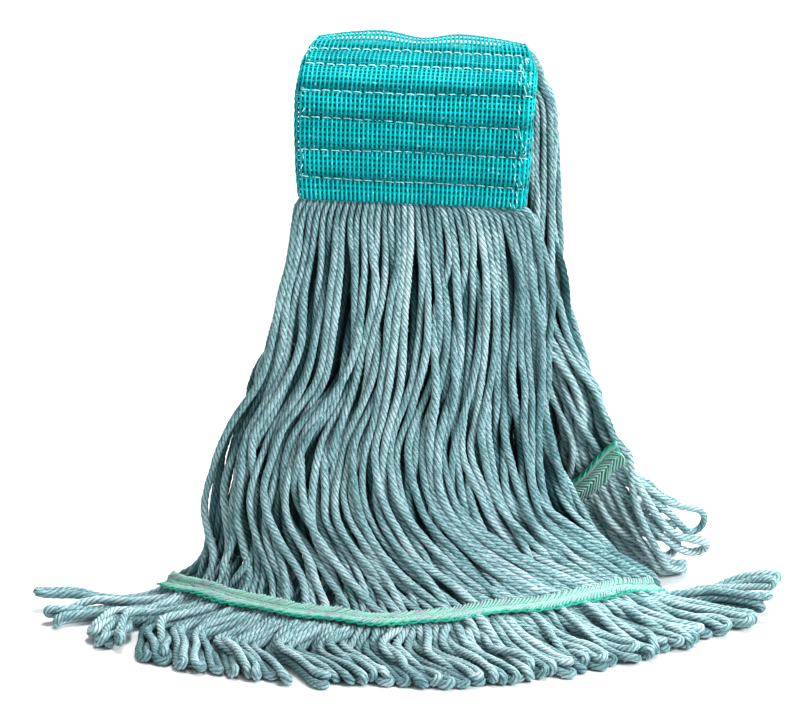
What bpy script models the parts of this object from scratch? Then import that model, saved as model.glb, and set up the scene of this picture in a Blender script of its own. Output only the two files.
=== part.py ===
"""A looped-end wet mop head: a stitched mesh headband, two skirts of looped yarn, and tailbands.

The head stands on its yarn as it does when it is set down: one skirt hangs in front of the
headband and the other behind it, and the looped ends spread on the floor. +X is to the right,
-Y to the front and +Z up. The origin is under the middle of the whole head, on the floor.
"""

import math
from collections import namedtuple

import bmesh
import bpy
from mathutils import Vector

MM = 0.001

# The headband: one strip of coated mesh, wrapped round the yarn and lapped at its right edge.
BAND_WIDTH = 150 * MM
BAND_LENGTH = 127 * MM  # measured along its front face, from the foot to the top edge
BAND_THICK = 17 * MM
STRIP = 1.0 * MM  # thickness of the mesh strip
LAP = 15 * MM  # how far the strip's end covers its beginning
LAP_GAP = 0.4 * MM
FOLD = 6 * MM  # half-width of the rounded left and right edges
FLAT_HALF = 60 * MM  # the faces are flat this far from the middle, and fall away past it
FALL = 0.6 * MM  # how far they have fallen where the rounded edges begin
FOOT_Z = 282.5 * MM  # height of the band's lower edge at its middle
TILT = 0.045  # the band hangs lower on the right, by this much per unit of x

# The band stands upright, then bends back over the yarn, whose mat goes on and hooks down.
UPRIGHT = 60 * MM
BEND_RADIUS = 30.7 * MM
BEND_TURN = math.radians(82)
HOOK_RADIUS = 28 * MM
HOOK_TURN = math.radians(98)
HOOK_STEPS = 5

# Six rows of stitching draw the sleeve in to grooves.
ROWS = 6
HEM = 14 * MM
GROOVE_HALF = 3 * MM
GROOVE_DEPTH = 1.8 * MM
THREAD = 1.0 * MM
THREAD_REACH = 67 * MM  # where a row ends, at either side of the middle
THREAD_CORNER = 3 * MM

# The yarn mat inside the sleeve, and where it has spread to at the end of the hook.
MAT_CLEARANCE = 1.0 * MM
HOOK_LEFT = -74 * MM
HOOK_RIGHT = 84 * MM

# Each skirt is divided across into bundles of loops.
BUNDLES = 8
BUNDLE_GAP = 1.6 * MM
SEAT = 0.4 * MM  # gap between the mat and the bundles, and under the tailband tapes

# The tailband is a tape on each face of the skirt, with a sewing thread along one edge.
TAPE = 1.2 * MM
EDGE_THREAD = 1.6 * MM

# A skirt's levels, from the headband down to the loops' tips, in millimetres and degrees: height
# of the outer face at the middle and how much higher it is at the sides, x of the left and right
# sides, depth behind the band's front face, the angle that half its width sweeps, thickness, and
# whether the yarn lies on its side there, so that its thickness is upright.
Level = namedtuple("Level", "height rise left right depth sweep thick lies")
FRONT_LEVELS = (
    Level(282.1, 0, -74, 74, 0.9, 1, 15.2, False),
    Level(268, 0, -83, 84, -2.0, 2, 19, False),
    Level(225, 0, -88, 91, -2.5, 3, 19, False),
    Level(165, 0, -104, 94, -3, 6, 17, False),
    Level(118, 0, -126, 98, -4, 13, 15, False),
    Level(75, 0, -133, 116, -14, 27, 13, False),
    Level(42, -1, -142, 141, -34, 42, 11, False),
    Level(26, -5, -158, 158, -54, 54, 8.5, False),
    Level(18, -6, -166, 166, -64, 57, 8.5, False),
    Level(13, 0, -205, 205, -105, 58, 13, True),
    Level(12, 0, -241, 241, -149, 60, 12, True),
)
BACK_LEVELS = (
    Level(347.8, 0, -74, 84, 80.4, -1, 15.6, False),
    Level(326, 0, -76, 94, 83, -2, 18, False),
    Level(250, 0, -80, 99, 84, -4, 18, False),
    Level(196, 0, -88, 104, 85, -8, 17, False),
    Level(148, 6, -102, 117, 86, -15, 15, False),
    Level(108, 14, -115, 127, 87, -24, 12, False),
    Level(80, 24, -123, 133, 88, -30, 8.5, False),
    Level(68, 26, -128, 139, 90, -31, 8.5, False),
    Level(30, 34, -138, 168, 104, -32, 13, False),
    Level(12, 26, -146, 201, 147, -48, 12, True),
)
FRONT_TAIL = 7  # the level at the tailband's upper edge; the next one is at its lower edge
BACK_TAIL = 6


def make_material(name, color, roughness, coat=0.0):
    material = bpy.data.materials.new(name)
    material.use_nodes = True
    shader = material.node_tree.nodes["Principled BSDF"]
    shader.inputs["Base Color"].default_value = (*color, 1)
    shader.inputs["Roughness"].default_value = roughness
    shader.inputs["Metallic"].default_value = 0.0
    shader.inputs["Coat Weight"].default_value = coat
    return material


def solid_between(name, front, back, material):
    """A closed solid whose two faces are grids of points of the same size."""
    mesh = bmesh.new()
    faces = [[[mesh.verts.new(point) for point in row] for row in grid] for grid in (front, back)]
    rows = len(front)
    columns = len(front[0])
    for grid in faces:
        for i in range(rows - 1):
            for j in range(columns - 1):
                mesh.faces.new((grid[i][j], grid[i][j + 1], grid[i + 1][j + 1], grid[i + 1][j]))
    rim = [(0, j) for j in range(columns)]
    rim += [(i, columns - 1) for i in range(1, rows)]
    rim += [(rows - 1, j) for j in range(columns - 2, -1, -1)]
    rim += [(i, 0) for i in range(rows - 2, 0, -1)]
    for (i, j), (k, m) in zip(rim, rim[1:] + rim[:1]):
        mesh.faces.new((faces[0][i][j], faces[0][k][m], faces[1][k][m], faces[1][i][j]))
    bmesh.ops.recalc_face_normals(mesh, faces=mesh.faces)
    data = bpy.data.meshes.new(name)
    mesh.to_mesh(data)
    mesh.free()
    data.shade_smooth()
    data.set_sharp_from_angle(angle=math.radians(35))
    data.materials.append(material)
    made = bpy.data.objects.new(name, data)
    bpy.context.scene.collection.objects.link(made)
    return made


def tube(name, points, diameter, material):
    """A round thread through the points, with closed ends."""
    curve = bpy.data.curves.new(name, "CURVE")
    curve.dimensions = "3D"
    curve.bevel_depth = diameter / 2
    curve.bevel_resolution = 2
    curve.use_fill_caps = True
    spline = curve.splines.new("POLY")
    spline.points.add(len(points) - 1)
    for spline_point, point in zip(spline.points, points):
        spline_point.co = (*point, 1)
    curve.materials.append(material)
    made = bpy.data.objects.new(name, curve)
    bpy.context.scene.collection.objects.link(made)
    return made


# The headband and the yarn mat, whose places are given by x, by the distance up the band's
# front face from its foot, and by the depth into the band from that face.

STRAIGHT_TOP = BAND_LENGTH - UPRIGHT - BEND_RADIUS * BEND_TURN
MAT_PATH = (
    (UPRIGHT, None),
    (BEND_RADIUS * BEND_TURN, BEND_RADIUS),
    (STRAIGHT_TOP, None),
    (HOOK_RADIUS * HOOK_TURN, HOOK_RADIUS),
)
HOOK_END = sum(length for length, _ in MAT_PATH)


def on_band(x, up, depth):
    y, z, lean = 0.0, FOOT_Z, 0.0
    for length, radius in MAT_PATH:
        step = min(up, length)
        if radius is None:
            y += step * math.sin(lean)
            z += step * math.cos(lean)
        else:
            turn = step / radius
            y += radius * (math.cos(lean) - math.cos(lean + turn))
            z += radius * (math.sin(lean + turn) - math.sin(lean))
            lean += turn
        up -= step
    return Vector((x, y + depth * math.cos(lean), z - depth * math.sin(lean) - TILT * x))


def stitch_rows():
    pitch = (BAND_LENGTH - 2 * HEM) / (ROWS - 1)
    return [HEM + pitch * row for row in range(ROWS)]


def band_stations():
    """Distances up the band where its section changes, each with how far the stitching draws it in."""
    stations = [(0.0, 0.0)]
    for row in stitch_rows():
        stations += [(row - GROOVE_HALF, 0.0), (row, GROOVE_DEPTH), (row + GROOVE_HALF, 0.0)]
    return stations + [(BAND_LENGTH, 0.0)]


def drawn_in(depth, pinch):
    middle = BAND_THICK / 2
    return middle + (depth - middle) * (middle - pinch) / middle


def half_ellipse(x, depths, reach, steps=6):
    """Points of a rounded edge centred on x, from the first depth to the second."""
    middle = sum(depths) / 2
    swing = (depths[0] - depths[1]) / 2
    angles = [math.pi * step / steps for step in range(steps + 1)]
    return [(x + reach * math.sin(angle), middle + swing * math.cos(angle)) for angle in angles]


def strip_section():
    """The wrapped strip seen from above: from its covered beginning round to its lapped end."""
    edge = BAND_WIDTH / 2 - FOLD
    front = STRIP / 2
    back = BAND_THICK - STRIP / 2
    under = front + STRIP + LAP_GAP
    reach = FOLD - STRIP / 2
    line = [(edge - LAP, under)]
    line += half_ellipse(edge, (under + FALL, back - FALL), reach)
    line += [(FLAT_HALF, back), (-FLAT_HALF, back)]
    line += half_ellipse(-edge, (back - FALL, front + FALL), -reach)
    line += [(-FLAT_HALF, front), (FLAT_HALF, front), (edge, front + FALL)]
    return line


def offset_line(line, distance):
    """The line moved sideways by the distance."""
    moved = []
    for i, (x, depth) in enumerate(line):
        before = line[max(i - 1, 0)]
        after = line[min(i + 1, len(line) - 1)]
        along = Vector((after[0] - before[0], after[1] - before[1])).normalized()
        moved.append((x + along.y * distance, depth - along.x * distance))
    return moved


def make_mesh_strip(material):
    sides = []
    for distance in (STRIP / 2, -STRIP / 2):
        line = offset_line(strip_section(), distance)
        sides.append([
            [on_band(x, up, drawn_in(depth, pinch)) for x, depth in line]
            for up, pinch in band_stations()
        ])
    return solid_between("headband_mesh", *sides, material)


def mat_columns():
    """The mat's section inside the sleeve: x, front depth and back depth."""
    half = BAND_WIDTH / 2
    near = STRIP + MAT_CLEARANCE
    under_lap = 2 * STRIP + LAP_GAP + MAT_CLEARANCE
    far = BAND_THICK - near
    rounding = 3.5 * MM
    lap_edge = half - FOLD - LAP
    return (
        (4 * MM - half, near + rounding, far - rounding),
        (9 * MM - half, near, far),
        (0.0, near, far),
        (lap_edge - 4 * MM, near, far),
        (lap_edge - 1 * MM, under_lap, far),
        (half - 9 * MM, under_lap, far),
        (half - 5 * MM, under_lap + rounding, far - rounding),
    )


def make_core(material):
    columns = mat_columns()
    sleeve_stations = band_stations()
    front, back = [], []
    for up, pinch in sleeve_stations:
        front.append([on_band(x, up, drawn_in(near, pinch)) for x, near, _ in columns])
        back.append([on_band(x, up, drawn_in(far, pinch)) for x, _, far in columns])
    hook = HOOK_END - BAND_LENGTH
    left, right = columns[0][0], columns[-1][0]
    for step in range(1, HOOK_STEPS + 1):
        share = step / HOOK_STEPS
        up = BAND_LENGTH + hook * share
        front_row, back_row = [], []
        for x, near, far in columns:
            across = (x - left) / (right - left)
            spread = HOOK_LEFT + (HOOK_RIGHT - HOOK_LEFT) * across
            place = x + (spread - x) * share
            edge = near - STRIP - MAT_CLEARANCE
            front_row.append(on_band(place, up, near + (edge - near) * share))
            back_row.append(on_band(place, up, far))
        front.append(front_row)
        back.append(back_row)
    return solid_between("yarn_core", front, back, material)


def make_stitching(name, front_side, material):
    """One thread that runs along every row and turns up to the next at alternate edges."""
    clear = THREAD / 2 + 0.4 * MM
    in_groove = GROOVE_DEPTH - clear
    edge = BAND_WIDTH / 2 - FOLD
    on_top = FALL * (THREAD_REACH - FLAT_HALF) / (edge - FLAT_HALF) - clear
    rows = stitch_rows()
    places = []
    for number, row in enumerate(rows):
        side = 1 if number % 2 == 0 else -1
        places.append((-side * (THREAD_REACH - THREAD_CORNER), row, in_groove))
        places.append((side * (THREAD_REACH - THREAD_CORNER), row, in_groove))
        if row == rows[-1]:
            break
        above = rows[number + 1]
        third = in_groove + (on_top - in_groove) / 3
        places += [
            (side * (THREAD_REACH - THREAD_CORNER / 6), row + GROOVE_HALF / 3, third),
            (side * THREAD_REACH, row + GROOVE_HALF, on_top),
            (side * THREAD_REACH, above - GROOVE_HALF, on_top),
            (side * (THREAD_REACH - THREAD_CORNER / 6), above - GROOVE_HALF / 3, third),
        ]
    if not front_side:
        places = [(x, up, BAND_THICK - depth) for x, up, depth in places]
    return tube(name, [on_band(*place) for place in places], THREAD, material)


# The skirts. A place on a skirt is a level number and a share across, from -1 at the left side
# to 1 at the right.


def outer_point(levels, number, across):
    """A point of the skirt's outer face: each level is an arc in plan."""
    level = levels[number]
    half = (level.right - level.left) / 2
    middle = (level.right + level.left) / 2
    sweep = math.radians(level.sweep)
    x = middle + half * math.sin(sweep * across) / math.sin(sweep)
    y = level.depth + half * (1 - math.cos(sweep * across)) / math.sin(sweep)
    z = level.height + level.rise * across * across
    if not level.lies:
        z -= TILT * x * level.height / levels[0].height
    return Vector((x, y, z)) * MM


def outward(levels, number, across):
    """The unit normal of the outer face."""
    if levels[number].lies:
        return Vector((0, 0, 1))
    above = max(number - 1, 0)
    below = min(number + 1, len(levels) - 1)
    down = outer_point(levels, below, across) - outer_point(levels, above, across)
    step = 0.02
    sideways = outer_point(levels, number, across + step) - outer_point(levels, number, across - step)
    normal = sideways.cross(down) if levels is BACK_LEVELS else down.cross(sideways)
    return normal.normalized()


def skirt_point(levels, number, across, depth):
    """A point at a depth into the skirt; a negative depth is outside it."""
    return outer_point(levels, number, across) - outward(levels, number, across) * depth


def bundle_shares(bundle):
    """The shares across of a bundle's left side, middle and right side."""
    width = 2 / BUNDLES
    gap = BUNDLE_GAP / BAND_WIDTH
    left = -1 + width * bundle
    return (left + gap, left + width / 2, left + width - gap)


def make_bundle(name, levels, bundle, material):
    numbers = range(len(levels))
    shares = bundle_shares(bundle)
    outer = [[skirt_point(levels, n, share, 0.0) for share in shares] for n in numbers]
    inner = [[skirt_point(levels, n, share, levels[n].thick * MM) for share in shares] for n in numbers]
    return solid_between(name, outer, inner, material)


def make_tape(name, levels, tail, on_outside, material):
    columns = [-1 + step / BUNDLES for step in range(2 * BUNDLES + 1)]
    faces = []
    for away in (SEAT, SEAT + TAPE):
        face = []
        for number in (tail, tail + 1):
            depth = -away if on_outside else levels[number].thick * MM + away
            face.append([skirt_point(levels, number, share, depth) for share in columns])
        faces.append(face)
    return solid_between(name, *faces, material)


def make_edge_thread(name, levels, tail, edge, material):
    """The thread sewn along the outer tape's lower edge (1) or upper edge (0)."""
    out = 2 * SEAT + TAPE + EDGE_THREAD / 2
    points = []
    for step in range(-BUNDLES, BUNDLES + 1):
        ends = [skirt_point(levels, tail + n, step / BUNDLES, -out) for n in (1 - edge, edge)]
        inwards = (ends[0] - ends[1]).normalized()
        points.append(ends[1] + inwards * EDGE_THREAD / 2)
    return tube(name, points, EDGE_THREAD, material)


def make_skirt(side, levels, tail, edge, yarn, tape, thread):
    for bundle in range(BUNDLES):
        make_bundle(f"{side}_yarns_{bundle + 1}", levels, bundle, yarn)
    make_tape(f"{side}_tailband_outer", levels, tail, True, tape)
    make_tape(f"{side}_tailband_inner", levels, tail, False, tape)
    make_edge_thread(f"{side}_tailband_edge_thread", levels, tail, edge, thread)


def centre_on_floor():
    """Moves every piece so that the origin is under the middle of the head's box."""
    bpy.context.view_layer.update()
    made = list(bpy.context.scene.objects)
    corners = [piece.matrix_world @ Vector(corner) for piece in made for corner in piece.bound_box]
    for axis in (0, 1):
        middle = (min(c[axis] for c in corners) + max(c[axis] for c in corners)) / 2
        for piece in made:
            piece.location[axis] -= middle


def main():
    for old in list(bpy.data.objects):
        bpy.data.objects.remove(old)
    mesh_teal = make_material("coated_mesh", (0.01, 0.40, 0.43), 0.3, coat=0.4)
    seam_thread = make_material("seam_thread", (0.72, 0.88, 0.88), 0.6)
    yarn = make_material("mop_yarn", (0.42, 0.58, 0.58), 0.85)
    tape = make_material("tailband_tape", (0.30, 0.68, 0.55), 0.75)
    emerald = make_material("edge_thread", (0.0, 0.20, 0.12), 0.6)
    make_mesh_strip(mesh_teal)
    make_core(yarn)
    make_stitching("headband_needle_thread", True, seam_thread)
    make_stitching("headband_bobbin_thread", False, seam_thread)
    make_skirt("front", FRONT_LEVELS, FRONT_TAIL, 1, yarn, tape, emerald)
    make_skirt("back", BACK_LEVELS, BACK_TAIL, 0, yarn, tape, emerald)
    centre_on_floor()


main()
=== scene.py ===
"""The looks of a looped-end wet mop head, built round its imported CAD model.

The yarn is made strand by strand: guide lines follow the skirts' levels, the strands are pushed
apart where they lie in each other, and each becomes a twisted, lobed tube. The headband is an open
mesh of ribs, drawn in by rows of stitches, and the tailbands are knitted tapes.
Lengths are in metres, in the CAD model's frame.
"""

import math

import bpy
import numpy as np
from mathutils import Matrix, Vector


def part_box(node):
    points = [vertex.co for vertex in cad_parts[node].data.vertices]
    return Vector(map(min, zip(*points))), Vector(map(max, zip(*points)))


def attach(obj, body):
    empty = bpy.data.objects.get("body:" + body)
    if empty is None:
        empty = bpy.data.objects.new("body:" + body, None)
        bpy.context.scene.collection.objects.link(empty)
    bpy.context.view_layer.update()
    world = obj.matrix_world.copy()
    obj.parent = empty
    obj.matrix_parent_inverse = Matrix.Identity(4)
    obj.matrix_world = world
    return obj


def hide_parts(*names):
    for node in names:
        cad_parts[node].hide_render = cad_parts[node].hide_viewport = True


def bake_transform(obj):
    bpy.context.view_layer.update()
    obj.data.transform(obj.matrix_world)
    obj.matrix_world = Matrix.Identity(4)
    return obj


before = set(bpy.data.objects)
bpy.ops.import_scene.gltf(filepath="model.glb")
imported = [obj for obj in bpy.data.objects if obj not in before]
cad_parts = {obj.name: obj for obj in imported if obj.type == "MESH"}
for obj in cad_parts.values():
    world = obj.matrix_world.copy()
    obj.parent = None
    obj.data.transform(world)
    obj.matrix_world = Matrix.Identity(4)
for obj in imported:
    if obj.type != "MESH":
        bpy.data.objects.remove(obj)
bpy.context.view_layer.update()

MM = 0.001
TAU = 2 * math.pi

# The headband's dimensions, as in the CAD model, and its place in the frame.
MESH_LOW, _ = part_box("headband_mesh")
BAND_WIDTH = 150 * MM
BAND_LENGTH = 127 * MM  # along the band's front face, round its bend
BAND_THICK = 17 * MM
FOLD = 6 * MM  # half-width of the rounded left and right edges
LAP = 15 * MM
STRIP = 1.0 * MM  # thickness of the cloth
LAP_GAP = 0.4 * MM
TILT = 0.045  # how far the head drops to its right, per length across
UPRIGHT = 60 * MM  # length that stands straight before the bend to the back
BEND_RADIUS = 30.7 * MM
BEND_TURN = math.radians(82)
HOOK_RADIUS = 28 * MM  # the yarn's hook behind the band
HOOK_TURN = math.radians(98)
BAND_FRONT = MESH_LOW.y
FOOT_Z = MESH_LOW.z + TILT * BAND_WIDTH / 2
HEM = 14 * MM  # from the band's edges to the outer rows of stitches
ROWS = 6
ROW_PITCH = (BAND_LENGTH - 2 * HEM) / (ROWS - 1)

# The skirts' levels, as in the CAD model: height, rise at the sides, left, right, depth behind the
# band's front face, sweep in degrees, thickness, and how far the yarn lies on its side.
FRONT_LEVELS = (
    (282.1, 0, -71, 73.5, 0.9, 1, 15.2, 0),
    (268, 0, -77.5, 81, -2.0, 4, 19, 0),
    (225, 0, -82, 89, -2.5, 9, 19, 0),
    (165, 0, -94, 90, -3, 15, 17, 0),
    (118, 0, -121, 90, -4, 20, 15, 0),
    (75, 0, -133, 104, -14, 30, 13, 0),
    (42, -1, -142, 132, -34, 42, 11, 0),
    (23.3, 0, -157, 156, -57.7, 54, 8.5, 0),
    (20, -6, -166, 166, -70, 57, 8.5, 0),
    (13, 0, -205, 205, -105, 58, 13, 1),
    (12, 0, -241, 241, -149, 60, 12, 1),
)
BACK_LEVELS = (
    (347.8, 0, -66, 88, 80.4, -1, 15.6, 0),
    (326, 0, -68, 94, 83, -2, 18, 0),
    (250, 0, -72, 95, 84, -4, 18, 0),
    (196, 0, -84, 101, 85, -8, 17, 0),
    (148, 6, -100, 116, 86, -15, 15, 0),
    (108, 14, -108, 130, 87, -24, 12, 0),
    (80, 27, -112, 139, 88, -30, 8.5, 0),
    (68, 29, -114, 145, 90, -31, 8.5, 0),
    (34, 51, -115, 172, 104, -32, 13, 0),
    (14, 46, -118, 200, 145, -48, 12, 1),
)

# How the front tailband lies in shallow waves: its height and its place to the back (mm), at even
# steps from its left end to its right end.
TAIL_WAVE = ((-1, 0), (3, 1), (0.5, 0), (0, 0), (0.7, 1), (2.5, 3), (3, 4), (3.5, 5), (-2, -7))

# The yarn.
YARN_RADIUS = 2.65 * MM
LAYERS = 4
LOOPS = 18  # in each layer of a skirt
BUNDLES = 8  # in which each skirt's CAD solids hold its loops
YARN_LAY = 20.5 * MM  # length of one turn of the twist
POINTS_DOWN = 60  # guide points of a strand from the headband to the tailband
POINTS_OUT = 18  # and from there to the loop's tip
POINTS_TIP = 3
RINGS_PER_POINT = 2.1
PLIES = 5
SIDES = 4 * PLIES
LEVEL_STEPS = 160  # fine points of a strand before they are thinned to POINTS_DOWN
STRAND_INSET = 4.5 * MM  # from the band's side edges to its outermost strands
CLOTH_DEPTH = 1.6 * MM  # from the band's faces to the yarn inside it
EDGE_SHARE = 0.985  # share across of a skirt's outermost strands, at most
LAYER_SHIFTS = (0.0, 0.5, 0.25, -0.25)  # how far each layer's loops are set aside, in pitches
NEARBY = 0.03  # step in level and in share across, for finding directions

# How far a strand wanders (mm): in broad and in fine waves, if it is a wild one, together with its
# neighbours, and off its skirt's face.
BROAD_SWAY = 2.6
FINE_SWAY = 0.9
WILD_SWAY = 5.0
SHARED_SWAY = 1.7
FACE_SWAY = 1.7
WILD_RISE = 1.5  # how much further out a wild strand lies
WILD_SHARE = 0.22  # of the strands

# How strands are pushed apart. Their spacings (mm) are between middles.
ROUNDS = 70
PUSH = 0.42  # share of an overlap that each of two strands gives way by in a round
OWN_POINTS = 4  # points this near along one loop don't push each other
FLOOR_CLEARANCE = 1.22  # least height of a strand's middle over the floor, in yarn radii
KEPT_FREE = 0.997  # share of its moves that a round leaves to a free strand
KEPT_HELD = 0.6  # and to one that is held in place
SPACE_IN_BAND = 3.8
SPACE_BELOW = 5.0
SPACE_IN_FRINGE = 5.5
# Share of a strand, from inside the headband to its tailband, that is held in place: the back's
# takes in the hook.
HELD_SHARE = {"front": 0.10, "back": 0.26}
FRINGE_SINK = {"front": 0.07 * MM, "back": 0.0}  # how far a round lets the fringe down
# How open to the light the strands lie above the tailband, and the loops beyond it.
OPEN_SHARES = {"front": (0.30, 0.75), "back": (0.45, 0.85)}

FIBRES = 5200  # loose ones on each skirt
FIBRE_POINTS = 5
FIBRE_SIDES = 4

BLACK = (0, 0, 0, 1)
WHITE = (1, 1, 1, 1)


# ---------------------------------------------------------------- curves and random wandering


def spline(points, at):
    """Values on a smooth curve through points, whose first index runs 0, 1, 2 and so on."""
    points = np.asarray(points, float)
    at = np.clip(np.asarray(at, float), 0, len(points) - 1)
    i = np.minimum(at.astype(int), len(points) - 2)
    f = (at - i).reshape(at.shape + (1,) * (points.ndim - 1))
    p0 = points[np.maximum(i - 1, 0)]
    p1, p2 = points[i], points[i + 1]
    p3 = points[np.minimum(i + 2, len(points) - 1)]
    slope1 = (p2 - p0) / 2
    slope2 = (p3 - p1) / 2
    h = p1 * (1 + 2 * f) * (1 - f) ** 2 + p2 * f * f * (3 - 2 * f)
    return h + slope1 * f * (1 - f) ** 2 - slope2 * f * f * (1 - f)


def wander(rng, rows, count, knots):
    """Smooth random lines, one per row, of unit spread."""
    values = rng.normal(size=(knots + 3, rows))
    return spline(values, np.linspace(0.5, knots + 1.5, count)).T


def smooth_step(x):
    x = np.clip(x, 0, 1)
    return x * x * (3 - 2 * x)


def unit(v):
    return v / np.maximum(np.linalg.norm(v, axis=-1, keepdims=True), 1e-12)


# ---------------------------------------------------------------- meshes and materials


def in_scene(name, data):
    made = bpy.data.objects.new(name, data)
    bpy.context.scene.collection.objects.link(made)
    return made


def mesh_piece(name, points, quads, material, attributes=(), material_index=None):
    """A smooth mesh of four-sided faces, with named values at its points."""
    mesh = bpy.data.meshes.new(name)
    points = np.ascontiguousarray(points, np.float32).reshape(-1, 3)
    quads = np.ascontiguousarray(quads, np.int32).reshape(-1, 4)
    mesh.vertices.add(len(points))
    mesh.vertices.foreach_set("co", points.ravel())
    mesh.loops.add(quads.size)
    mesh.loops.foreach_set("vertex_index", quads.ravel())
    mesh.polygons.add(len(quads))
    mesh.polygons.foreach_set("loop_start", np.arange(0, quads.size, 4, dtype=np.int32))
    mesh.update(calc_edges=True)
    mesh.shade_smooth()
    for key, values in dict(attributes).items():
        values = np.ascontiguousarray(values, np.float32)
        vector = values.ndim == 2
        kind = "FLOAT_VECTOR" if vector else "FLOAT"
        layer = mesh.attributes.new(key, kind, "POINT")
        layer.data.foreach_set("vector" if vector else "value", values.ravel())
    for each in material if isinstance(material, (list, tuple)) else (material,):
        mesh.materials.append(each)
    if material_index is not None:
        mesh.polygons.foreach_set("material_index", np.asarray(material_index, np.int32))
    return in_scene(name, mesh)


def fix_on(made, body, node):
    """Lets a piece ride on its body in place of its CAD node."""
    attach(made, body)
    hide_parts(node)


def tangents_of(lines):
    tangents = np.empty_like(lines)
    tangents[:, 1:-1] = lines[:, 2:] - lines[:, :-2]
    tangents[:, 0] = lines[:, 1] - lines[:, 0]
    tangents[:, -1] = lines[:, -1] - lines[:, -2]
    return unit(tangents)


def transported(lines):
    """Tangents and two normals for each point of lines (lines, points, 3), with no spin."""
    tangents = tangents_of(lines)
    normals = np.empty_like(lines)
    start = np.tile(np.array([0.0, -1.0, 0.0]), (len(lines), 1))
    flat = np.abs((start * tangents[:, 0]).sum(1)) > 0.9
    start[flat] = (1.0, 0.0, 0.0)
    for i in range(lines.shape[1]):
        t = tangents[:, i]
        start = unit(start - t * (start * t).sum(1, keepdims=True))
        normals[:, i] = start
    return tangents, normals, np.cross(tangents, normals)


def lengths_along(lines):
    steps = np.linalg.norm(np.diff(lines, axis=1), axis=2)
    return np.concatenate([np.zeros((len(lines), 1)), np.cumsum(steps, axis=1)], axis=1)


def tube_rings(lines, radii, sides, spin=None, section=None):
    """Ring points (lines, points, sides, 3) of tubes along lines."""
    _, first, second = transported(lines)
    angles = TAU * np.arange(sides) / sides
    turned = angles[None, None, :] + (0 if spin is None else spin[:, :, None])
    reach = radii[:, :, None] * (1 if section is None else section)
    return (
        lines[:, :, None, :]
        + (reach * np.cos(turned))[..., None] * first[:, :, None, :]
        + (reach * np.sin(turned))[..., None] * second[:, :, None, :]
    )


def tube_quads(count, rings, sides):
    """Faces of capped tubes whose points are ordered by tube, ring and side."""
    ring = np.arange(rings - 1)[:, None] * sides
    side = np.arange(sides)[None, :]
    after = (side + 1) % sides
    wall = np.stack([ring + side, ring + after, ring + sides + after, ring + sides + side], -1)
    half = np.arange(sides // 2 - 1)
    near = np.stack([half, sides - 1 - half, sides - 2 - half, half + 1], -1)
    far = np.stack([half, half + 1, sides - 2 - half, sides - 1 - half], -1) + (rings - 1) * sides
    one = np.concatenate([wall.reshape(-1, 4), near, far])
    return (one[None] + (np.arange(count) * rings * sides)[:, None, None]).reshape(-1, 4)


class Nodes:
    """Short calls for building a material's node tree."""

    def __init__(self, name):
        self.material = bpy.data.materials.new(name)
        self.material.use_nodes = True
        self.tree = self.material.node_tree
        self.shader = self.tree.nodes["Principled BSDF"]

    def put(self, kind, inputs=(), **settings):
        node = self.tree.nodes.new(kind)
        for key, value in settings.items():
            setattr(node, key, value)
        for key, value in dict(inputs).items():
            self.set(node.inputs[key], value)
        return node

    def set(self, socket, value):
        if isinstance(value, bpy.types.NodeSocket):
            self.tree.links.new(value, socket)
        else:
            socket.default_value = value

    def attribute(self, name, vector=False):
        node = self.put("ShaderNodeAttribute", attribute_name=name)
        return node.outputs["Vector" if vector else "Fac"]

    def place(self):
        return self.put("ShaderNodeTexCoord").outputs["Object"]

    def math(self, operation, a, b):
        return self.put("ShaderNodeMath", {0: a, 1: b}, operation=operation).outputs[0]

    def weighted(self, *terms):
        """The sum of values, each given with its weight."""
        parts = [self.math("MULTIPLY", value, weight) for value, weight in terms]
        total = parts[0]
        for part in parts[1:]:
            total = self.math("ADD", total, part)
        return total

    def noise(self, vector, scale, detail=3.0, roughness=0.55):
        inputs = {"Vector": vector, "Scale": scale, "Detail": detail, "Roughness": roughness}
        return self.put("ShaderNodeTexNoise", inputs).outputs["Fac"]

    def stretched(self, vector, scale):
        inputs = {"Vector": vector, "Scale": scale}
        return self.put("ShaderNodeMapping", inputs).outputs[0]

    def mix(self, share, a, b, blend="MIX"):
        node = self.put("ShaderNodeMix", data_type="RGBA", blend_type=blend)
        self.set(node.inputs["Factor"], share)
        self.set(node.inputs["A"], a)
        self.set(node.inputs["B"], b)
        return node.outputs["Result"]

    def ramp(self, share, *stops):
        node = self.put("ShaderNodeValToRGB", {"Fac": share})
        points = node.color_ramp.elements
        while len(points) < len(stops):
            points.new(0.5)
        for point, (place, color) in zip(points, stops):
            point.position = place
            point.color = color
        return node.outputs["Color"]

    def patches(self, color, noise, low, high, strength, other):
        """The colour, with another laid over it where the noise is high."""
        where = self.ramp(noise, (low, BLACK), (high, WHITE))
        return self.mix(self.math("MULTIPLY", where, strength), color, other)

    def bump(self, height, strength, distance):
        inputs = {"Height": height, "Strength": strength, "Distance": distance}
        self.set(self.shader.inputs["Normal"], self.put("ShaderNodeBump", inputs).outputs[0])

    def finish(self, color, roughness, **others):
        self.set(self.shader.inputs["Base Color"], color)
        self.set(self.shader.inputs["Roughness"], roughness)
        for key, value in others.items():
            self.set(self.shader.inputs[key.replace("_", " ").title().replace("Ior", "IOR")], value)
        return self.material


def srgb(red, green, blue):
    """A colour given as 0 to 255 on screen."""
    linear = []
    for value in (red, green, blue):
        dark = value / 255 / 12.92
        linear.append(dark if value < 10 else ((value / 255 + 0.055) / 1.055) ** 2.4)
    return (*linear, 1.0)


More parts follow.
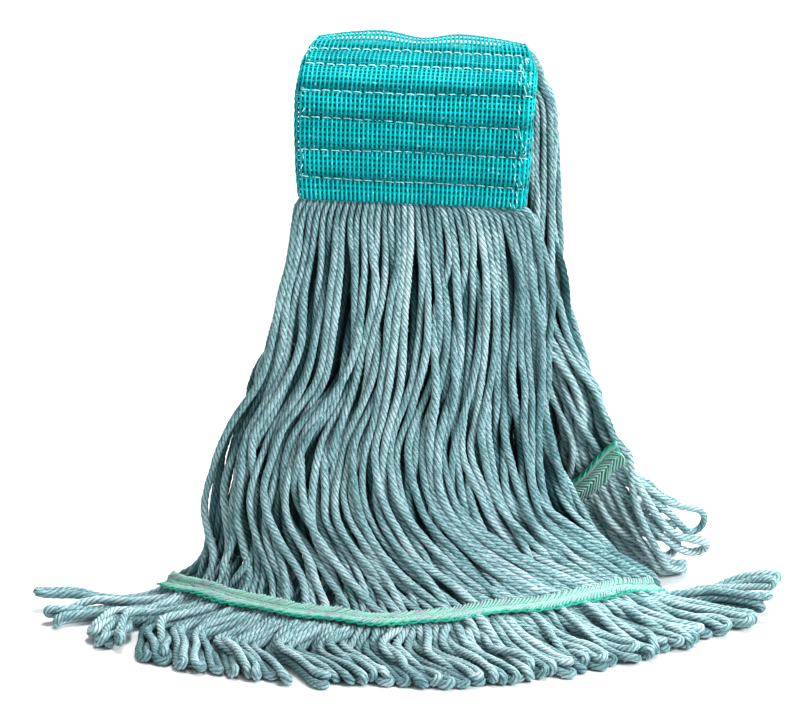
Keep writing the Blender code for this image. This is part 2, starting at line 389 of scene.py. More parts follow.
def yarn_material():
    n = Nodes("mop_yarn_looks")
    fibre = n.attribute("fibre", vector=True)
    streak = n.noise(n.stretched(fibre, (0.75, 0.75, 0.4)), 3.0, 5.0, 0.9)
    slow = n.noise(n.stretched(fibre, (0.15, 0.15, 0.10)), 1.0, 2.0)
    tone, lit = n.attribute("tone"), n.attribute("lit")
    # Random mottle, with painted light added: the lit value brightens the strands that lie open above
    # the tailband and the loops beyond it.
    mottle_and_painted_light = n.weighted((streak, 1.1), (slow, 0.25), (tone, 0.026), (lit, 0.07))
    body = n.ramp(
        mottle_and_painted_light,
        (0.50, srgb(76, 123, 126)),
        (0.62, srgb(126, 166, 170)),
        (0.72, srgb(168, 201, 205)),
        (0.83, srgb(212, 229, 233)),
    )
    slub = n.noise(n.stretched(fibre, (0.8, 0.8, 0.10)), 1.7, 1.0)
    body = n.patches(body, slub, 0.66, 0.74, 0.4, srgb(28, 138, 132))
    fleck = n.noise(n.stretched(fibre, (1, 1, 0.3)), 1.3, 1.0)
    body = n.patches(body, fleck, 0.66, 0.76, 0.5, srgb(236, 226, 228))
    # Painted shade in the grooves between the plies: the sides near a groove are darkened by their crest
    # value.
    painted_groove_shade = n.ramp(n.attribute("crest"), (0.0, srgb(112, 142, 146)), (0.75, WHITE))
    color = n.mix(0.9, body, painted_groove_shade, "MULTIPLY")
    # Painted shade: strands that lie deep in a skirt, away from open air, are darkened by their shade
    # value.
    painted_shade_stops = (0.12, srgb(12, 42, 48)), (0.45, srgb(118, 154, 158)), (0.85, WHITE)
    depth = n.ramp(n.attribute("shade"), *painted_shade_stops)
    color = n.mix(1.0, color, depth, "MULTIPLY")
    n.bump(streak, 0.8, 0.0008)
    return n.finish(color, 1.0, sheen_weight=0.1, sheen_roughness=0.6, specular_ior_level=0.06)


def plain_yarn_material():
    """The yarn mat, seen only through the headband's holes."""
    n = Nodes("mat_yarn_looks")
    streak = n.noise(n.stretched(n.place(), (900.0, 900.0, 240.0)), 1.0, 3.0)
    # Painted shade: the yarn inside the sleeve gets darker, more teal colours than the skirts' yarn.
    color = n.ramp(streak, (0.35, srgb(22, 132, 136)), (0.7, srgb(84, 184, 186)))
    n.bump(streak, 0.4, 0.0005)
    return n.finish(color, 0.9)


def rib_material(name, dark, bright, roughness):
    n = Nodes(name)
    place = n.place()
    patch = n.noise(place, 55.0, 3.0)
    fine = n.noise(place, 1400.0, 3.0)
    color = n.ramp(n.weighted((patch, 0.5), (fine, 0.5)), (0.35, dark), (0.70, bright))
    # Painted shade: the ribs' shade values, from the rolls and the beads along the uprights, darken
    # their colour.
    shade = n.ramp(n.attribute("shade"), (0.0, srgb(138, 138, 138)), (1.0, WHITE))
    color = n.mix(1.0, color, shade, "MULTIPLY")
    # Painted glints: small pale dashes laid over the ribs' colour, standing in for highlights.
    glint = n.noise(n.stretched(place, (420.0, 420.0, 300.0)), 1.0, 1.0)
    color = n.patches(color, glint, 0.66, 0.72, 0.3, srgb(176, 246, 244))
    n.bump(fine, 0.35, 0.0003)
    rough = n.math("ADD", n.math("MULTIPLY", fine, 0.25), roughness)
    return n.finish(color, rough, specular_ior_level=0.35, specular_tint=srgb(120, 255, 255))


def thread_material(name, dark, bright, scale=2200.0):
    n = Nodes(name)
    fine = n.noise(n.place(), scale, 3.0)
    color = n.ramp(fine, (0.35, dark), (0.65, bright))
    n.bump(fine, 0.4, 0.0002)
    return n.finish(color, 0.6, sheen_weight=0.3)


YARN = yarn_material()
MAT = plain_yarn_material()
RIB_UP = rib_material("mesh_upright_rib", srgb(0, 168, 175), srgb(4, 220, 224), 0.25)
# The cross ribs get darker colours than the upright ribs: painted shade, as they lie behind them.
RIB_ACROSS = rib_material("mesh_cross_rib", srgb(0, 122, 128), srgb(0, 174, 178), 0.3)
RIB_EDGE = rib_material("mesh_selvage", srgb(0, 88, 94), srgb(0, 126, 130), 0.4)
SEAM = thread_material("seam_thread_looks", srgb(150, 220, 222), srgb(224, 248, 248))
TAPE_GROUND = thread_material("tape_ground", srgb(62, 142, 126), srgb(108, 176, 162), 900.0)
TAPE_LOOP = thread_material("tape_loops", srgb(116, 186, 168), srgb(180, 214, 204))
TAPE_FLECK = thread_material("tape_flecks", srgb(132, 156, 162), srgb(186, 194, 204))
EMERALD = thread_material("emerald_thread", srgb(0, 132, 116), srgb(28, 190, 164))


# ---------------------------------------------------------------- places on the headband


def band_line():
    """Places (y, z, lean) every quarter millimetre along the front face and the hook."""
    step = 0.25 * MM
    straight = BAND_LENGTH - UPRIGHT - BEND_RADIUS * BEND_TURN
    end = BAND_LENGTH + HOOK_RADIUS * HOOK_TURN
    up = np.arange(0, end + step, step)
    bend = np.clip((up - UPRIGHT) / BEND_RADIUS, 0, BEND_TURN)
    hook = np.clip((up - UPRIGHT - BEND_RADIUS * BEND_TURN - straight) / HOOK_RADIUS, 0, HOOK_TURN)
    lean = bend + hook
    middle = (lean[1:] + lean[:-1]) / 2
    y = BAND_FRONT + np.concatenate([[0], np.cumsum(np.sin(middle))]) * step
    z = FOOT_Z + np.concatenate([[0], np.cumsum(np.cos(middle))]) * step
    return up, y, z, lean


BAND_LINE = band_line()
HOOK_END = BAND_LINE[0][-1]
# The band's left and right outlines, which lean a little to the right towards the top.
OUTLINE_UP = np.array([0, 20, 45, 70, 90, 105, 118, 127]) * MM
OUTLINE_LEFT = np.array([-74, -75.5, -76, -75.5, -73, -71, -68, -63.5]) * MM
OUTLINE_RIGHT = np.array([74, 76, 77.5, 79, 80.5, 81, 79.5, 77]) * MM
# How far (mm) the top hem's front layer stands up, at even steps from left to right.
TOP_HEM_WAVE = (2.2, 6.0, 7.8, 4.0, 7.4, 5.8, 2.4)


def on_band(x, up, depth):
    """The point at x (from -75 to 75 mm), a distance up the front face and a depth behind it."""
    line_up, line_y, line_z, line_lean = BAND_LINE
    y = np.interp(up, line_up, line_y)
    z = np.interp(up, line_up, line_z) + np.minimum(up, 0)
    lean = np.interp(up, line_up, line_lean)
    share = (x + BAND_WIDTH / 2) / BAND_WIDTH
    left = np.interp(up, OUTLINE_UP, OUTLINE_LEFT)
    right = np.interp(up, OUTLINE_UP, OUTLINE_RIGHT)
    spread = left + (right - left) * share
    y = y + depth * np.cos(lean)
    z = z - depth * np.sin(lean) - TILT * x
    return np.stack(np.broadcast_arrays(spread, y, z), -1)


def row_height(row, x):
    """How far up the front face a stitch row runs; the rows are sewn a little crooked."""
    crook = (0.016, -0.002, 0.017, -0.011, -0.002, -0.013)[row]
    wave = 0.5 * MM * np.sin(x / (21 * MM) + 1.7 * row)
    return HEM + ROW_PITCH * row - crook * x + wave


def quilting(x, up):
    """How far the sleeve stands out between the rows (positive) and is drawn in at them."""
    x, up = np.broadcast_arrays(x, up)
    heights = np.stack([row_height(row, x) for row in range(ROWS)])
    pulled = np.exp(-(((up[None] - heights) / (2.0 * MM)) ** 2)).max(0) * 2.3 * MM
    foot = np.zeros_like(heights[:1])
    edges = np.concatenate([foot, heights, foot + BAND_LENGTH])
    full = np.zeros(x.shape)
    for low, high in zip(edges[:-1], edges[1:]):
        share = np.clip((high - up) / (high - low), 0, 1)
        sag = share ** 1.4 * (1 - share) ** 0.6 * 9.0
        inside = (up >= low) & (up < high)
        full = np.where(inside, sag, full)
    ripple = 1 + 0.25 * np.sin(x / (8.5 * MM) + 40 * up / BAND_LENGTH)
    lower = 1 - 0.6 * smooth_step((up - 76 * MM) / (30 * MM))
    return (full * ripple * MM - pulled) * lower


# ---------------------------------------------------------------- places on the skirts


class Skirt:
    """One skirt's shape: a place is a level number and a share across, from -1 to 1."""

    def __init__(self, side, levels, tail):
        self.side = side
        self.levels = np.array(levels, float)
        self.tail = tail  # the level at the middle of the tailband
        self.tip = len(levels) - 1
        self.facing = 1 if side == "front" else -1

    def thickness(self, level):
        return spline(self.levels[:, 6], level) * MM

    def place(self, level, across):
        level, across = np.broadcast_arrays(np.asarray(level, float), np.asarray(across, float))
        row = spline(self.levels, level)
        half = (row[..., 3] - row[..., 2]) / 2
        middle = (row[..., 3] + row[..., 2]) / 2
        sweep = np.radians(row[..., 5])
        x = middle + half * np.sin(sweep * across) / np.sin(sweep)
        y = row[..., 4] + half * (1 - np.cos(sweep * across)) / np.sin(sweep)
        z = row[..., 0] + row[..., 1] * across * across
        z = z - TILT * x * row[..., 0] / self.levels[0, 0] * (1 - row[..., 7])
        if self.side == "front":
            near = smooth_step((level - 5.6) / 1.2) * (1 - smooth_step((level - 8) / 0.9))
            wave = spline(TAIL_WAVE, (across + 1) / 2 * (len(TAIL_WAVE) - 1))
            z = z + wave[..., 0] * near
            y = y + wave[..., 1] * near
            # The outermost loops lie over their neighbours and hold their ends off the floor.
            outermost = smooth_step((np.abs(across) - 0.85) / 0.15)
            z = z + (10 + 3 * across) * outermost * smooth_step((level - 8) / 1.5)
        else:
            # The right end of the back tailband has curled up, and sags just inside the curl.
            sag = np.sin(math.pi * np.clip((across - 0.32) / 0.68, 0, 1)) ** 1.3
            z = z - 25 * sag * smooth_step((level - 4) / 2) * (1 - smooth_step((level - 7) / 2))
        return np.stack([x, y, z], -1) * MM + np.array([0, BAND_FRONT, 0])

    def outward(self, level, across):
        down = self.place(level + NEARBY, across) - self.place(level - NEARBY, across)
        side = self.place(level, across + NEARBY) - self.place(level, across - NEARBY)
        normal = unit(np.cross(down, side) * self.facing)
        lies = spline(self.levels[:, 7], level)[..., None]
        return unit(normal * (1 - lies) + np.array([0.0, 0.0, 1.0]) * lies)

    def edge_distance(self, level, across):
        row = spline(self.levels, level)
        return (1 - np.abs(across)) * (row[..., 3] - row[..., 2]) / 2 * MM

    def sideways(self, level, across):
        return unit(self.place(level, across + NEARBY) - self.place(level, across - NEARBY))


FRONT = Skirt("front", FRONT_LEVELS, 7.5)
BACK = Skirt("back", BACK_LEVELS, 6.5)


# ---------------------------------------------------------------- the yarn's guide lines


def taken(values, at):
    """Each line's values at its own fractional places."""
    low = np.minimum(at.astype(int), values.shape[1] - 2)
    share = at - low
    if values.ndim == 3:
        low, share = low[..., None], share[..., None]
    before = np.take_along_axis(values, low, 1)
    after = np.take_along_axis(values, low + 1, 1)
    return before * (1 - share) + after * share


def with_return(down_a, out, down_b):
    """Values down one strand, along the doubled end and up the other strand."""
    tip = np.repeat(out[:, -1:], POINTS_TIP, axis=1)
    return np.concatenate([down_a, out, tip, out[:, ::-1], down_b[:, ::-1]], axis=1)


def there_and_back(down, out, tip):
    """Values down a strand, out to the loop's tip and round it, and the same ones on the way back."""
    down = np.broadcast_to(down, POINTS_DOWN)
    out = np.broadcast_to(out, POINTS_OUT)
    return np.concatenate([down, out, np.full(POINTS_TIP, tip), out[::-1], down[::-1]])


def layer_depth(layer, thickness, radius):
    return radius + layer * (thickness - 2 * radius) / (LAYERS - 1)


FLOW_FROM = (-1, -0.68, -0.31, 0.25, 0.62, 1)
FLOW_TO = (
    (-0.86, -0.42, 0.05, 0.56, 0.80, 0.985),
    (-0.91, -0.54, -0.12, 0.38, 0.68, 0.97),
    (-0.96, -0.66, -0.26, 0.24, 0.58, 0.94),
    (-0.985, -0.76, -0.42, 0.12, 0.50, 0.93),
)


def flow(skirt, layer, across):
    """Where a strand's share across has drifted to at the tailband: the front's outer ones go right."""
    if skirt.side == "front":
        return np.interp(across, FLOW_FROM, FLOW_TO[layer])
    return 0.02 * (layer - 1.5) + 0.96 * across


def strays(skirt, layer, across, levels, rng):
    """How far each strand wanders sideways and outwards from its own straight course."""
    count = len(across)
    near_tail = smooth_step((levels - skirt.tail + 1.2) / 1.2)
    loose = smooth_step((levels - 0.6) / 2.2) * (1 - 0.6 * near_tail)
    broad = wander(rng, count, LEVEL_STEPS, 6) * BROAD_SWAY * MM
    own = broad + wander(rng, count, LEVEL_STEPS, 13) * FINE_SWAY * MM
    wild = rng.uniform(size=(count, 1)) < WILD_SHARE
    own = own + wild * wander(rng, count, LEVEL_STEPS, 4) * WILD_SWAY * MM
    # Neighbours wander together: a few broad waves that pass slowly across the skirt.
    shared = wander(rng, 4, LEVEL_STEPS, 4)
    phase = np.stack([np.sin(k * 1.9 * across + 2.1 * k + layer) for k in range(1, 5)], 1)
    together = phase @ shared * SHARED_SWAY * MM
    rise = wander(rng, count, LEVEL_STEPS, 8) * FACE_SWAY * MM + wild * WILD_RISE * MM
    flat = 1 - smooth_step((levels - skirt.tail + 1.3) / 1.0)
    return (own + together) * loose, rise * loose * flat


def strand_in_band(skirt, layer, across):
    """The guide lines inside the headband and over the hook, with the band's face and normal there."""
    x = across[:, None] * (BAND_WIDTH / 2 - STRAND_INSET)
    deep = layer_depth(layer, BAND_THICK - 2 * CLOTH_DEPTH, YARN_RADIUS) + CLOTH_DEPTH
    if skirt.side == "front":
        ups = np.linspace(14, 1, 6)[None, :] * MM
        inside = on_band(x, ups, deep)
    else:
        ups = np.linspace(BAND_LENGTH - 10 * MM, HOOK_END, 26)[None, :]
        inside = on_band(x, ups, deep)
        top = skirt.place(np.zeros((1, 1)), across[:, None])[..., 0]
        share_out = smooth_step((ups - BAND_LENGTH) / (HOOK_END - BAND_LENGTH))
        inside[..., 0] += (top * 0.97 - inside[..., 0]) * share_out
    normal = unit(on_band(x, ups, 0.0) - on_band(x, ups, 1.0 * MM))
    return inside, on_band(x, ups, CLOTH_DEPTH), normal


def strand_down(skirt, layer, across, rng):
    """Guide lines from inside the headband to the tailband, for an array of shares across."""
    levels = np.linspace(0.3, skirt.tail, LEVEL_STEPS)[None, :]
    start = across[:, None]
    end = flow(skirt, layer, across)[:, None]
    drift_from = 4.6 if skirt.side == "front" else 3.0
    moving = smooth_step((levels - drift_from) / (skirt.tail - 0.2 - drift_from))
    share = start + (end - start) * moving
    depth = layer_depth(layer, skirt.thickness(levels), YARN_RADIUS)
    outward = skirt.outward(levels, share)
    aside, outwards = strays(skirt, layer, across, levels, rng)
    points = skirt.place(levels, share) - outward * depth[..., None]
    points = points + aside[..., None] * skirt.sideways(levels, share) + outwards[..., None] * outward
    inside, face, face_normal = strand_in_band(skirt, layer, across)
    whole = np.concatenate([inside, points], axis=1)
    # The skirt's outer face beside each point, for the shading of strands that lie deep.
    hidden = inside.shape[1]
    levels = np.concatenate([np.zeros(hidden), levels[0]])[None, :]
    share = np.concatenate([np.repeat(start, hidden, 1), share], axis=1)
    outer = skirt.place(levels, share)
    normal = skirt.outward(levels, share)
    outer[:, :hidden] = face
    normal[:, :hidden] = face_normal
    thick = skirt.thickness(levels) * np.ones_like(share)
    edge = skirt.edge_distance(levels, share)
    along = lengths_along(whole)
    at = np.stack([np.interp(np.linspace(0, a[-1], POINTS_DOWN), a, np.arange(len(a))) for a in along])
    return tuple(taken(values, at) for values in (whole, outer, normal, thick, edge))


# How the front loops lie beyond the tailband, by share across: the sideways place (mm) at the elbow
# and at the tip, and how far out the elbow and the tip are, as shares of the fringe's length.
FRINGE_AT = (-1, -0.9, -0.8, -0.7, -0.35, -0.2, 0, 0.22, 0.55, 0.75, 1)
FRINGE = (
    (-20, -18, -17, -16, -12, -9, 2, 8, 6, 4, 8),
    (-38, -26, 2, 20, 29, 31, 31, 28, 16, 8, 30),
    (0.58, 0.60, 0.62, 0.60, 0.50, 0.46, 0.46, 0.42, 0.42, 0.42, 0.46),
    (0.91, 0.94, 0.93, 0.91, 0.83, 0.78, 0.81, 0.79, 0.77, 0.77, 0.91),
)


def fringe_course(skirt, at_tail, out, rng):
    """How the loops lie beyond the tailband: turns, half-width at the tip, sideways place and level."""
    count = len(at_tail)
    if skirt.side == "front":
        turns = rng.uniform(0.0, 0.7, (count, 1))
        tip_half = rng.uniform(2.3, 3.2, (count, 1)) * MM
        elbow_side, tip_side, elbow_out, tip_out = (np.interp(at_tail, FRINGE_AT, row) for row in FRINGE)
        tip_side = tip_side + rng.normal(size=count) * 3.5
        tip_out = tip_out * rng.uniform(0.93, 1.03, count)
        elbow_out = elbow_out * rng.uniform(0.88, 1.08, count)
    else:
        turns = rng.uniform(-0.08, 0.14, (count, 1))
        tip_half = rng.uniform(4.0, 8.5, (count, 1)) * MM
        tip_side = rng.uniform(-12, 8, count)
        elbow_side = tip_side * 0.3
        tip_out = rng.uniform(0.76, 0.96, count)
        elbow_out = tip_out * 0.55
    zero = np.zeros(count)
    late_side = 0.42 * elbow_side + 0.58 * tip_side
    late_out = 0.45 * elbow_out + 0.55 * tip_out
    side_knots = np.stack([zero, 0.4 * elbow_side, elbow_side, late_side, tip_side])
    out_knots = np.stack([zero, 0.52 * elbow_out, elbow_out, late_out, tip_out])
    at_knots = np.interp(out[0], (0, 0.3, 0.58, 0.8, 1.0), np.arange(5))
    level = skirt.tail + (skirt.tip - skirt.tail) * spline(out_knots, at_knots).T
    return turns, tip_half, spline(side_knots, at_knots).T * MM, level


def loop_guides(skirt, layer, rng):
    """Guide lines of a layer's loops: down one strand, round the tip and up the other."""
    pitch = 1.0 / LOOPS
    shift = LAYER_SHIFTS[layer] * pitch
    middle = -1 + pitch + 2 * pitch * np.arange(LOOPS) + shift * 0.9
    left = np.clip(middle - pitch / 2, -EDGE_SHARE, EDGE_SHARE)
    right = np.clip(middle + pitch / 2, -EDGE_SHARE, EDGE_SHARE)
    down_a, *beside_a = strand_down(skirt, layer, left, rng)
    down_b, *beside_b = strand_down(skirt, layer, right, rng)
    at_tail = flow(skirt, layer, middle)
    out = np.linspace(0, 1, POINTS_OUT + 1)[1:][None, :]
    turns, tip_half, hook, level = fringe_course(skirt, at_tail, out, rng)
    across = at_tail[:, None] * (1 + (0 if skirt.side == "front" else 0.04) * out)
    bend = wander(rng, LOOPS, POINTS_OUT, 3) * 2.0 * MM * out
    normal = skirt.outward(level, across)
    side = skirt.sideways(level, across)
    thickness = skirt.thickness(level)
    depth = layer_depth(layer, thickness, 1.7 * YARN_RADIUS)
    depth = depth + wander(rng, LOOPS, POINTS_OUT, 3) * 1.2 * MM * out
    centre = skirt.place(level, across) - normal * depth[..., None] + side * (hook + bend)[..., None]
    if skirt.side == "back":
        # The inner layers' loops have sunk towards the floor.
        centre[..., 2] -= (centre[..., 2] - YARN_RADIUS) * layer / (LAYERS - 1) * smooth_step(out) * 0.95
    # Start from the middle of the two strands at the tailband, so that the line has no step.
    middle_tail = (down_a[:, -1] + down_b[:, -1]) / 2
    tail = np.full(LOOPS, skirt.tail)
    tail_depth = layer_depth(layer, skirt.thickness(tail), YARN_RADIUS)
    first = skirt.place(tail, at_tail) - skirt.outward(tail, at_tail) * tail_depth[:, None]
    centre = centre + (middle_tail - first)[:, None] * (1 - smooth_step(out / 0.5))[..., None]
    apart = np.linalg.norm(down_b[:, -1] - down_a[:, -1], axis=1)[:, None] / 2
    closing = smooth_step(out / 0.45)
    half = apart + (1.05 * YARN_RADIUS - apart) * closing
    half = half + (tip_half - half) * smooth_step((out - 0.72) / 0.28)
    angle = TAU * turns * smooth_step((out - 0.3) / 0.7)
    arm = (np.cos(angle) * half)[..., None] * side + (np.sin(angle) * half)[..., None] * normal
    out_a = centre - arm
    out_b = centre + arm
    forward = unit(centre[:, -1] - centre[:, -2])
    round_tip = []
    for step in range(1, POINTS_TIP + 1):
        turn = math.pi * step / (POINTS_TIP + 1)
        ahead = forward * tip_half * math.sin(turn) * 1.25
        round_tip.append(centre[:, -1] + ahead - arm[:, -1] * math.cos(turn))
    round_tip = np.stack(round_tip, 1)
    beside = (skirt.place(level, across), normal, thickness, skirt.edge_distance(level, across))
    loops = np.concatenate([down_a, out_a, round_tip, out_b[:, ::-1], down_b[:, ::-1]], axis=1)
    return loops, *(with_return(*each) for each in zip(beside_a, beside, beside_b))


# ---------------------------------------------------------------- pushing strands apart


def near_pairs(points, cell):
    """Index pairs of points in the same or adjoining cells of a grid."""
    low = points.min(0) - cell
    grid = ((points - low) / cell).astype(np.int64)
    span = grid.max(0) + 3
    key = grid[:, 0] + span[0] * (grid[:, 1] + span[1] * grid[:, 2])
    order = np.argsort(key, kind="stable")
    ordered = key[order]
    firsts, seconds = [], []
    for dz in (0, 1):
        for dy in (-1, 0, 1):
            for dx in (-1, 0, 1):
                if (dz, dy, dx) < (0, 0, 0):
                    continue
                target = ordered + dx + span[0] * (dy + span[1] * dz)
                low_at = np.searchsorted(ordered, target, "left")
                high_at = np.searchsorted(ordered, target, "right")
                if (dz, dy, dx) == (0, 0, 0):
                    low_at = np.arange(len(ordered)) + 1
                counts = np.maximum(high_at - low_at, 0)
                first = np.repeat(np.arange(len(ordered)), counts)
                starts = np.repeat(low_at - np.concatenate([[0], np.cumsum(counts)[:-1]]), counts)
                second = starts + np.arange(len(first))
                firsts.append(order[first])
                seconds.append(order[second])
    return np.concatenate(firsts), np.concatenate(seconds)


def push_apart(guides, free, flat_normals, flat_share, wide, sink, rounds):
    """Moves the guides apart where strands lie in each other, keeping each one's own shape.

    Each round lets them down by sink, as far as the strands below and the floor allow.
    """
    loops, count, _ = guides.shape
    moved = np.zeros_like(guides)
    loop_of = np.repeat(np.arange(loops), count)
    place_of = np.tile(np.arange(count), loops)
    wide = np.broadcast_to(wide, (loops, count)).ravel()
    weight = free.ravel()
    floor = FLOOR_CLEARANCE * YARN_RADIUS
    for _ in range(rounds):
        points = (guides + moved).reshape(-1, 3)
        first, second = near_pairs(points, wide.max())
        beside = np.abs(place_of[first] - place_of[second]) < OWN_POINTS
        same = (loop_of[first] == loop_of[second]) & beside
        first, second = first[~same], second[~same]
        gap = points[second] - points[first]
        distance = np.linalg.norm(gap, axis=1)
        want = (wide[first] + wide[second]) / 2
        close = (distance < want) & (distance > 1e-7)
        first, second, gap, distance, want = (a[close] for a in (first, second, gap, distance, want))
        push = gap / distance[:, None] * ((want - distance) * PUSH)[:, None]
        total = np.zeros_like(points)
        for axis in range(3):
            total[:, axis] -= np.bincount(first, push[:, axis], len(points))
            total[:, axis] += np.bincount(second, push[:, axis], len(points))
        hits = np.bincount(np.concatenate([first, second]), minlength=len(points))
        total /= np.sqrt(np.maximum(hits, 1))[:, None]
        moved += (total * weight[:, None]).reshape(moved.shape)
        for _ in range(2):
            moved[:, 1:-1] = 0.5 * moved[:, 1:-1] + 0.25 * (moved[:, :-2] + moved[:, 2:])
        out = (moved * flat_normals).sum(-1, keepdims=True)
        moved -= flat_normals * out * flat_share[..., None]
        moved[..., 2] -= sink
        moved *= KEPT_FREE * free[..., None] + (1 - free[..., None]) * KEPT_HELD
        moved[..., 2] += np.maximum(floor - (guides[..., 2] + moved[..., 2]), 0)
    return guides + moved


def skirt_loops(skirt, seed):
    """The settled centre lines of a skirt's loops, ordered by layer and then left to right."""
    rng = np.random.default_rng(seed)
    made = [loop_guides(skirt, layer, rng) for layer in range(LAYERS)]
    guides, outer, outwards, thick, edge = (np.concatenate(part) for part in zip(*made))
    count = guides.shape[1]
    down = np.arange(POINTS_DOWN) / (POINTS_DOWN - 1)
    out = np.arange(POINTS_OUT)
    held = HELD_SHARE[skirt.side]
    free = there_and_back(smooth_step((down - held) / 0.16), 1, 1)
    clamp = there_and_back(smooth_step((down - 0.92) / 0.04), 1 - smooth_step((out - 2.5) / 2.5), 0)
    tail = np.full(len(guides), skirt.tail)
    middle = np.tile(-1 + 1 / LOOPS + 2 / LOOPS * np.arange(LOOPS), LAYERS)
    layer = np.repeat(np.arange(LAYERS), LOOPS)
    across = np.array([flow(skirt, k, u) for k, u in zip(layer, middle)])
    normals = skirt.outward(tail, across)[:, None, :]
    spread = smooth_step((down - held) / 0.3)
    width = SPACE_IN_BAND * MM + (SPACE_BELOW - SPACE_IN_BAND) * MM * spread
    wide = there_and_back(width, SPACE_IN_FRINGE * MM, SPACE_IN_FRINGE * MM)
    free = np.broadcast_to(free, (len(guides), count))
    clamp = np.broadcast_to(clamp, (len(guides), count))
    sink = there_and_back(0, smooth_step((out - 3) / 5), 1) * FRINGE_SINK[skirt.side]
    settled = push_apart(guides, free, np.broadcast_to(normals, guides.shape), clamp, wide, sink, ROUNDS)
    depth = ((outer - settled) * outwards).sum(-1)
    low_share, fringe_share = OPEN_SHARES[skirt.side]
    open_share = there_and_back(low_share * smooth_step((down - 0.5) / 0.4), fringe_share, fringe_share)
    lit = np.broadcast_to(open_share, depth.shape)
    return settled, outwards, depth, thick, edge, lit


# ---------------------------------------------------------------- yarn as twisted tubes

SECTION = np.tile([0.83, 0.95, 1.0, 0.95], PLIES)
# CREST tells how near each side of a ring lies to a ply's crest; the yarn material darkens the sides
# towards the grooves by it, as painted shade.
CREST = np.tile([0.0, 0.75, 1.0, 0.75], PLIES)
SQUEEZED = 18 * MM  # length of yarn at each end that the seams squeeze
FLOOR_GAP = 0.1 * MM
SHADE_DEPTH = 3.0 * MM  # depth at which a strand is dimmed to about a third


def shade_at(deep, thick, edge, lit):
    """The light that reaches a place inside a skirt, which is less the further it is from open air:
    painted shade that darkens the yarn's colour.
    """
    nearest = np.minimum(np.minimum(deep, thick - deep), 0.5 * edge)
    return np.exp(-np.clip(nearest, 0, None) * (1 - lit) / SHADE_DEPTH)


def yarn_tubes(name, lines, outwards, depth, thick, edge, lit, seed):
    """A piece of twisted yarn along each line, and the rings' centres."""
    rng = np.random.default_rng(seed)
    count, points, _ = lines.shape
    rings = int(points * RINGS_PER_POINT)
    at = np.linspace(0, points - 1, rings)
    fine = spline(lines.transpose(1, 0, 2), at).transpose(1, 0, 2)
    along = lengths_along(fine)
    every = np.broadcast_to(at, (count, rings))
    depth, thick, edge, lit = (taken(values, every)[..., None] for values in (depth, thick, edge, lit))
    own = rng.uniform(0.93, 1.06, (count, 1))
    radii = YARN_RADIUS * own * (1 + 0.05 * wander(rng, count, rings, 24))
    slubs = 0.035 * wander(np.random.default_rng(seed + 1), count, rings, 90)
    # The seams squeeze the yarn, which swells again below them.
    from_end = np.minimum(along, along[:, -1:] - along)
    squeeze = 0.82 + 0.18 * smooth_step((from_end - SQUEEZED) / (30 * MM))
    radii = radii * squeeze * (1 + slubs)
    lay = YARN_LAY * rng.uniform(0.8, 1.25, (count, 1))
    spin = -TAU * along / lay + 0.45 * wander(rng, count, rings, 22) + rng.uniform(0, TAU, (count, 1))
    radii = radii * (1 + 0.10 * smooth_step(lit[..., 0]))
    rough = 1 + 0.045 * rng.normal(size=(count, rings, SIDES))
    made = tube_rings(fine, radii, SIDES, spin, SECTION * rough)
    angle = TAU * np.arange(SIDES) / SIDES
    fibre = np.empty((count, rings, SIDES, 3))
    start = rng.uniform(0, 400, (count, 1, 1))
    fibre[..., 0] = np.cos(angle) + start * 0.37
    fibre[..., 1] = np.sin(angle) + start * 0.61
    fibre[..., 2] = along[:, :, None] / YARN_RADIUS + start
    tone = rng.normal(size=(count, 1, 1)) + 0.6 * wander(rng, count, rings, 9)[:, :, None]
    facing = unit(taken(outwards, every))
    deep = depth - ((made - fine[:, :, None, :]) * facing[:, :, None, :]).sum(-1)
    values = {"lit": lit, "tone": tone, "crest": CREST, "shade": shade_at(deep, thick, edge, lit)}
    attributes = {key: np.broadcast_to(value, deep.shape).reshape(-1) for key, value in values.items()}
    attributes["fibre"] = fibre.reshape(-1, 3)
    made[..., 2] = np.maximum(made[..., 2], FLOOR_GAP)
    quads = tube_quads(count, rings, SIDES)
    return mesh_piece(name, made, quads, YARN, attributes), fine


